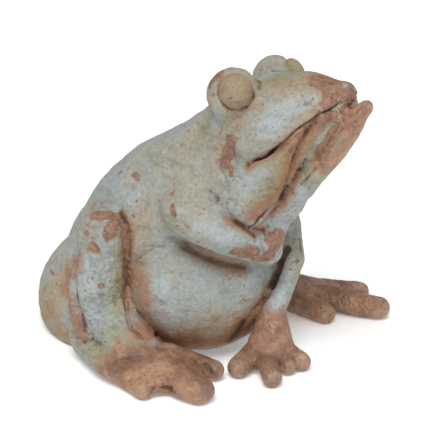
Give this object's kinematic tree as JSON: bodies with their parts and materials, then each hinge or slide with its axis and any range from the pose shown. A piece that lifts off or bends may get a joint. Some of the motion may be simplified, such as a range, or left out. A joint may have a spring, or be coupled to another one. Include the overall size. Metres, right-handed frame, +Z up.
{
  "type": "seated frog garden figure",
  "caption": "Hollow fired-clay figure of a seated frog with its head raised and its chin resting on one hand; it stands on its open base, feet and other hand.",
  "frame": {"origin": "on the ground plane, in the middle of the box around the whole figure", "axes": "+Z is up; the frog faces -Y and its right side is at -X; +Y is the long way, from nose and toes to rump"},
  "size_m": [0.3056, 0.3548, 0.285],
  "materials": {
    "wash": "matt pale blue-grey wash, worn through to orange-brown fired clay in the creases",
    "worn": "matt, mostly bare brown fired clay with small shiny spots",
    "eye": "matt, wash rubbed thin over tan fired clay"
  },
  "bodies": {
    "root": {"torso_shell": "wash", "head_shell": "wash", "lower_jaw": "wash", "right_eye_mount": "wash", "right_eyeball": "eye", "left_eye_mount": "wash", "left_eyeball": "eye", "right_upper_arm": "wash", "right_forearm": "wash", "right_hand": "worn", "left_upper_arm": "wash", "left_forearm": "wash", "left_hand": "worn", "right_leg": "wash", "right_foot": "worn", "left_leg": "wash", "left_foot": "worn"}
  },
  "joints": []
}
